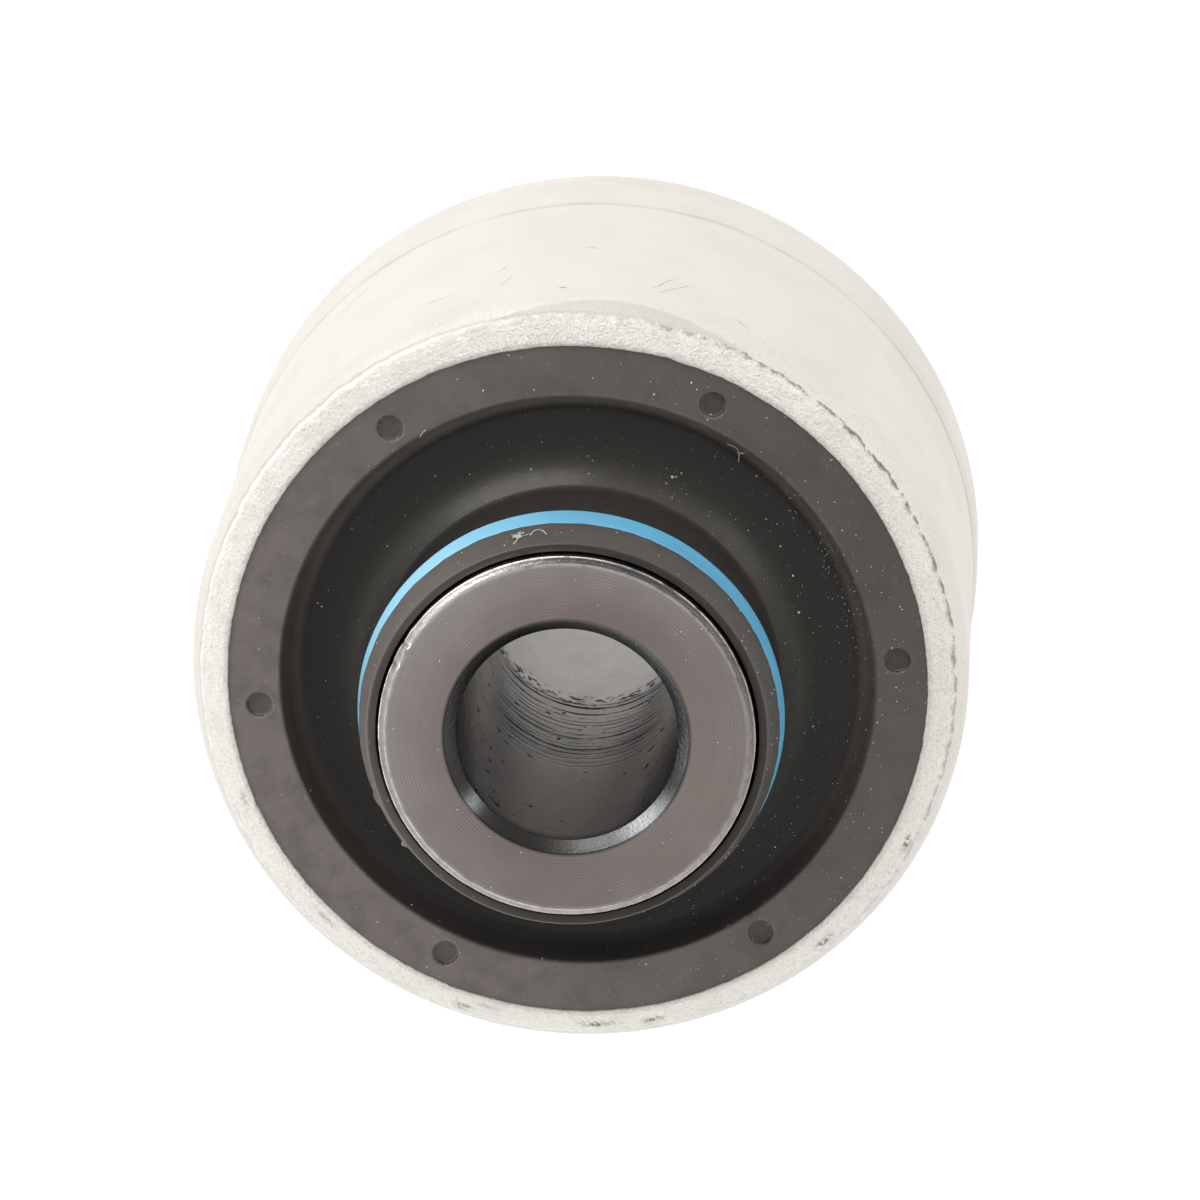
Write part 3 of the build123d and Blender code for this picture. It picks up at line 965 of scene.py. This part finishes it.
# Threads on the front boot: corners of bearing in degrees, radius and height, then the thickness,
# with lengths in millimetres.
THREADS = (
    (((105.2, 14.80, 63.8), (103.6, 15.02, 63.1), (103.0, 15.18, 62.6), (102.0, 15.18, 62.6)), 0.055),
    (((104.4, 14.90, 63.5), (103.6, 15.05, 63.0), (103.8, 15.22, 62.4)), 0.045),
    (((100.4, 15.02, 63.1), (100.2, 15.08, 62.9), (99.4, 15.18, 62.6), (98.0, 15.23, 62.5),
      (96.6, 15.12, 62.8), (95.8, 14.98, 63.2)), 0.05),
    (((58.6, 20.98, 49.75), (58.0, 21.10, 49.85), (57.2, 21.14, 49.90), (56.4, 21.15, 49.90),
      (55.8, 20.95, 49.80), (55.2, 20.70, 49.60), (54.4, 20.22, 49.40)), 0.075),
    (((55.5, 20.95, 49.75), (54.8, 21.15, 49.95)), 0.09),
    (((119.8, 22.40, 52.45), (120.9, 22.25, 52.42), (121.6, 22.05, 52.30)), 0.05),
)
# The larger specks in the bowl and on the flange: bearing in degrees, radius and size in millimetres.
SPECKS = (
    (34.0, 18.0, 0.09), (26.2, 17.7, 0.10), (17.2, 17.1, 0.13), (41.2, 18.4, 0.07), (-12.8, 17.9, 0.08),
    (-43.0, 20.1, 0.08), (107.0, 23.5, 0.09), (102.4, 16.3, 0.08), (110.6, 24.9, 0.06), (101.2, 25.7, 0.07),
    (146.0, 17.2, 0.07), (87.2, 15.8, 0.06), (65.8, 16.9, 0.14), (65.0, 17.0, 0.09), (64.2, 17.4, 0.09),
    (75.8, 23.1, 0.08), (70.2, 24.8, 0.08), (49.6, 20.2, 0.09), (166.5, 19.8, 0.09),
)


def crumbs(centres, sizes, seed):
    """Lumpy specks: two poles and two rings of six points each, all moved in or out by up to a third."""
    six = np.arange(6)
    spread, after = six * TURN / 6, (six + 1) % 6
    upper, lower = round_z(spread, 0.85, 0.45), round_z(spread + 0.5, 0.95, -0.35)
    shape = np.concatenate([[(0, 0, 0.95)], upper, lower, [(0, 0, -0.8)]])
    triangles = (
        (0 * six, 1 + six, 1 + after),
        (1 + six, 7 + six, 7 + after),
        (1 + six, 7 + after, 1 + after),
        (0 * six + len(shape) - 1, 7 + after, 7 + six),
    )
    faces = np.concatenate([np.stack(corners, 1) for corners in triangles])
    lumps = np.random.default_rng(seed).uniform(0.67, 1.2, (len(centres), len(shape), 1))
    points = centres[:, None] + shape * lumps * np.asarray(sizes)[:, None, None]
    faces = faces + len(shape) * np.arange(len(centres))[:, None, None]
    return points.reshape(-1, 3), faces.reshape(-1, 3)


def thread(corners, thickness):
    """Tube of five sides along a curve whose corners are cut to a quarter three times; the ends taper."""
    bearing, radius, height = np.array(corners, float).T
    path = round_z(np.radians(bearing), radius, height) * MM
    for _ in range(3):
        early, late = 0.75 * path[:-1] + 0.25 * path[1:], 0.25 * path[:-1] + 0.75 * path[1:]
        path = np.concatenate([path[:1], np.stack([early, late], 1).reshape(-1, 3), path[-1:]])
    forward = np.gradient(path, axis=0)
    forward /= np.linalg.norm(forward, axis=1)[:, None]
    side = np.cross(forward, path * [1, 1, 0] + [0, 0, 10 * MM])
    side /= np.linalg.norm(side, axis=1)[:, None]
    lift = np.cross(side, forward)
    spread = np.arange(5)[:, None] * TURN / 5
    swell = 0.5 * thickness * MM * np.minimum(1, 0.35 + 4 * np.sin(np.pi * np.linspace(0, 1, len(path))))
    ring = side[:, None] * np.cos(spread) + lift[:, None] * np.sin(spread)
    rings = (path[:, None] + ring * swell[:, None, None]).reshape(-1, 3)
    points = np.concatenate([rings, path[:1], path[-1:]])
    index = np.arange(5 * len(path)).reshape(-1, 5)
    beside = np.roll(index, -1, 1)
    triangles = (
        (index[:-1], beside[:-1], beside[1:]),
        (index[:-1], beside[1:], index[1:]),
        (np.full(5, index.size), beside[0], index[0]),
        (np.full(5, index.size + 1), index[-1], beside[-1]),
    )
    return points, np.concatenate([np.stack(corners, -1).reshape(-1, 3) for corners in triangles])


def joined(pieces):
    """One vertex array and one triangle array from several."""
    starts = np.cumsum([0] + [len(points) for points, _ in pieces[:-1]])
    return (np.concatenate([points for points, _ in pieces]),
            np.concatenate([faces + start for (_, faces), start in zip(pieces, starts)]))


class MakeLint(bpy.types.Operator):
    """Scatter the lint, dust and crumbs that lie on the boot and in the sleeve's chamfer"""

    bl_idname = "bush.lint"
    bl_label = "Lint and dust"

    def execute(self, context):
        scene = context.scene
        boot, sleeve, colours = scene.bush_boot, scene.bush_sleeve, scene.bush_colours
        random = np.random.default_rng(41)
        pale, brown = self.on_boot(boot, sleeve, random)
        for name, pieces, tint in (("boot_lint", pale, colours.lint), ("boot_crumbs", brown, colours.rust)):
            points, faces = joined(pieces)
            material = lint_finish(name, tint, colours.dust)
            piece = mesh_from(name, points, faces, None, [], material)
            bend(piece, boot, np.hypot(points[:, 0], points[:, 1]), points[:, 2])
        swarf, dust = self.on_sleeve(sleeve, random)
        for name, (points, faces), tint in (("sleeve_swarf", swarf, colours.rust),
                                            ("sleeve_dust", dust, colours.lint)):
            material = lint_finish(name, tint, colours.bright)
            mesh_from(name, points, faces, "sleeve", [], material)
        return {"FINISHED"}

    def on_boot(self, s, sleeve, random):
        """Pale specks, threads and a tuft of fluff on the front boot, and a few brown crumbs."""
        outline = boot_outline(s, sleeve)
        bed = outline[1 : np.argmax(outline[:, 0] <= s.neck_radius + 1e-6)][::-1]

        def lying(bearing, radius, size):
            """Centres of specks that lie on the flange or in the bowl."""
            return round_z(bearing, radius, np.interp(radius, bed[:, 0], bed[:, 1]) + 0.4 * size)

        def clinging(bearing, level, size):
            """Centres of specks on the collar, level from 0 at its foot to 1 at its top ridge."""
            radius = s.collar_radius + (s.collar_top - s.collar_radius) * level + 0.2 * size
            height = BAND_HIGH.z + (CASING_HIGH.z + s.collar_height - BAND_HIGH.z) * level
            return round_z(bearing, radius, height)

        # Fine dust: half of it thicker on the right, some anywhere, and a drift in the bowl.
        fine, half, drift, cling, strands = 980, 490, 220, 70, 22
        bearing = np.radians(np.concatenate([
            random.normal(-5, 60, half),
            random.uniform(-180, 180, fine - half - drift),
            random.normal(22, 14, drift),
        ]))
        radius = MM * np.concatenate([
            np.sqrt(random.uniform(15.4**2, 25.9**2, fine - drift)),
            np.clip(random.normal(20.9, 0.7, drift), 16, 25),
        ])
        size = (0.018 + 0.045 * random.uniform(0, 1, fine) ** 4) * MM
        turn, level = random.uniform(0, TURN, cling), random.uniform(0.08, 0.92, cling)
        cling_size = (0.025 + 0.035 * random.uniform(0, 1, cling) ** 2) * MM
        large = np.array(SPECKS) * [np.radians(1), MM, MM]
        pale = [crumbs(lying(*large.T), large[:, 2], 42), crumbs(lying(bearing, radius, size), size, 43),
                crumbs(clinging(turn, level, cling_size), cling_size, 44)]
        pale += [thread(corners, thickness) for corners, thickness in THREADS]

        # The tuft: short strands that start near one point of the collar's slope.
        tuft_bearing, tuft_radius, tuft_height, collar_slope = 103.5, 15.10, 63.0, 0.20
        for turn, level in random.normal((tuft_bearing, tuft_height), (0.6, 0.2), (strands, 2)):
            sway, drop = random.normal(0, 0.9), random.normal(0, 0.25)
            lift = tuft_radius - collar_slope * (level - tuft_height)
            strand = ((turn, lift, level), (turn + sway, lift + 0.1, level + drop / 2),
                      (turn + sway / 2, lift + 0.06 * abs(drop), level + drop))
            pale.append(thread(strand, 0.035))

        chips = np.array([0.21, 0.12]) * MM
        brown = [crumbs(clinging(np.radians([-142.3, -141.0]), np.array([0.18, 0.05]), chips), chips, 45),
                 crumbs(lying(np.radians([166.0]), np.array([20.15]) * MM, 0.1 * MM), [0.11 * MM], 46)]
        return pale, brown

    def on_sleeve(self, s, random):
        """Brown swarf in the front chamfer, thickest where it is bruised, and pale dust on the end face."""
        bruise, elsewhere, flecks = 26, 8, 90
        count = bruise + elsewhere
        bearing = np.radians(np.concatenate([
            random.normal(160, 11, bruise),
            random.normal(95, 14, elsewhere),
        ]))
        level = random.uniform(0.1, 0.9, count)
        height = SLEEVE_HIGH.z - s.edge_depth * (1 - level)
        in_chamfer = round_z(bearing, s.radius - s.edge_width * level, height - 0.03 * MM)
        turn, radius = random.uniform(0, TURN, flecks), random.uniform(9.3, 13.1, flecks) * MM
        on_face = round_z(turn, radius, SLEEVE_HIGH.z + 0.01 * MM)
        dust = crumbs(on_face, (0.015 + 0.035 * random.uniform(0, 1, flecks) ** 3) * MM, 48)
        swarf = crumbs(in_chamfer, (0.03 + 0.04 * random.uniform(0, 1, count)) * MM, 47)
        return swarf, dust


class FinishInside(bpy.types.Operator):
    """Finish the races and press rings, which stay as the frame has them"""

    bl_idname = "bush.inside"
    bl_label = "Races and press rings"

    def execute(self, context):
        race = hidden_finish("race_plastic", (0.84, 0.82, 0.76), (0.72, 0.70, 0.64), 0.0, 0.35)
        steel = hidden_finish("press_ring_steel", (0.50, 0.50, 0.50), (0.36, 0.36, 0.37), 1.0, 0.30)
        for node, piece in frame["nodes"].items():
            for part, material in (("bearing_race", race), ("press_ring", steel)):
                if node.startswith(part):
                    piece.data.materials.clear()
                    piece.data.materials.append(material)
        return {"FINISHED"}


class MakeStage(bpy.types.Operator):
    """Make the floor, the soft lights and the camera"""

    bl_idname = "bush.stage"
    bl_label = "Stage"

    def execute(self, context):
        s = context.scene.bush_stage
        self.floor(s)
        self.surround(s)
        self.light("key", s.key, bearing=116, elevation=17, width=0.75, height=0.40)
        self.light("side", s.side, bearing=30, elevation=24, width=0.25, height=0.35)
        self.camera()
        context.scene.view_settings.view_transform = "Standard"
        return {"FINISHED"}

    def floor(self, s):
        """A wide square floor that glows softly."""
        half = 2.0
        corners = np.array([(-half, -half, 0), (half, -half, 0), (half, half, 0), (-half, half, 0)])
        f = Finish("floor")
        f.set(Base_Color=(0.2, 0.2, 0.2), Roughness=0.9)
        f.set(Emission_Color=(1.0, 1.0, 1.0), Emission_Strength=s.floor_glow)
        floor = mesh_from("floor", corners, np.array([[0, 1, 2, 3]]), None, [], f.material)

    def surround(self, s):
        """A room with bright walls, brighter towards the left, and a dim ceiling where the camera stands."""
        world = bpy.data.worlds.new("room")
        world.use_nodes = True
        f = Nodes(world.node_tree)
        way = f.add("TexCoord").outputs["Generated"]
        glow = f.step(f.add("SeparateXYZ", {0: way}).outputs[2], 0.09, 0.72, s.horizon, s.zenith)
        across = f.add("VectorMath", {0: way, 1: (-s.lean, 0, 0)}, operation="DOT_PRODUCT").outputs["Value"]
        background = f.tree.nodes["Background"].inputs
        f.feed(background["Color"], (1, 1, 1))
        f.feed(background["Strength"], Field(f, across) * glow + glow)
        bpy.context.scene.world = world

    def light(self, name, power, bearing, elevation, width, height, distance=0.9):
        """Soft light of width by height, facing the rim from a bearing and an elevation in degrees."""
        lamp = bpy.data.lights.new(name, "AREA")
        lamp.shape = "RECTANGLE"
        lamp.size, lamp.size_y = width, height
        lamp.energy = power
        source = bpy.data.objects.new(name, lamp)
        a, e = np.radians(bearing), np.radians(elevation)
        away = Vector((np.cos(a) * np.cos(e), np.sin(a) * np.cos(e), np.sin(e)))
        source.location = Vector((0, 0, CASING_HIGH.z)) + away * distance
        source.rotation_euler = (-away).to_track_quat("-Z", "Y").to_euler()
        bpy.context.scene.collection.objects.link(source)

    def camera(self):
        """Long lens, looking down at the front end, with +Y up in the picture.

        In the camera's own axes (right, down, forward) the bore axis points along bore, and the
        rim's centre stands at rim. The part's X runs as near to the right as the bore axis
        allows, and its Y makes the set right-handed.
        """
        bore = Vector((-0.0599, 0.3064, -0.9500)).normalized()
        rim = Vector((-1.706, 6.204, 548.9)) * MM
        x = (Vector((1, 0, 0)) - bore * bore.x).normalized()
        y = bore.cross(x)
        axes = Matrix((x, y, bore))
        place = Vector((0, 0, CASING_HIGH.z)) - axes @ rim
        right, down, forward = (axes.col[i] for i in range(3))
        turn = Matrix((right, -down, -forward)).transposed()
        lens = bpy.data.cameras.new("camera")
        focal_pixels, frame_pixels = 7400, 1200
        lens.sensor_width = 36
        lens.lens = lens.sensor_width * focal_pixels / frame_pixels
        lens.clip_start, lens.clip_end = 0.01, 20
        camera = bpy.data.objects.new("camera", lens)
        camera.matrix_world = Matrix.Translation(place) @ turn.to_4x4()
        bpy.context.scene.collection.objects.link(camera)
        bpy.context.scene.camera = camera


class BushPanel(bpy.types.Panel):
    """Makes the bush piece by piece"""

    bl_idname = "VIEW3D_PT_bush"
    bl_label = "Ball-sleeve bush"
    bl_space_type = "VIEW_3D"
    bl_region_type = "UI"
    bl_category = "Bush"

    def draw(self, context):
        for group in SETTINGS:
            settings = getattr(context.scene, group)
            box = self.layout.box()
            for name in settings.__annotations__:
                box.prop(settings, name)
        for operator in OPERATORS:
            self.layout.operator(operator.bl_idname)


SETTINGS = {
    "bush_casing": BushCasing,
    "bush_sleeve": BushSleeve,
    "bush_boot": BushBoot,
    "bush_colours": BushColours,
    "bush_stage": BushStage,
}
OPERATORS = [MakeCasing, MakeSleeve, MakeBoots, MakeRings, MakeLint, FinishInside, MakeStage]


def register():
    for group in (*SETTINGS.values(), *OPERATORS, BushPanel):
        bpy.utils.register_class(group)
    for name, group in SETTINGS.items():
        setattr(bpy.types.Scene, name, PointerProperty(type=group))


def unregister():
    for name in SETTINGS:
        delattr(bpy.types.Scene, name)
    for group in reversed((*SETTINGS.values(), *OPERATORS, BushPanel)):
        bpy.utils.unregister_class(group)


def main():
    register()
    bpy.ops.bush.casing()
    bpy.ops.bush.sleeve()
    bpy.ops.bush.boots()
    bpy.ops.bush.rings()
    bpy.ops.bush.lint()
    bpy.ops.bush.inside()
    bpy.ops.bush.stage()


if __name__ == "__main__":
    main()
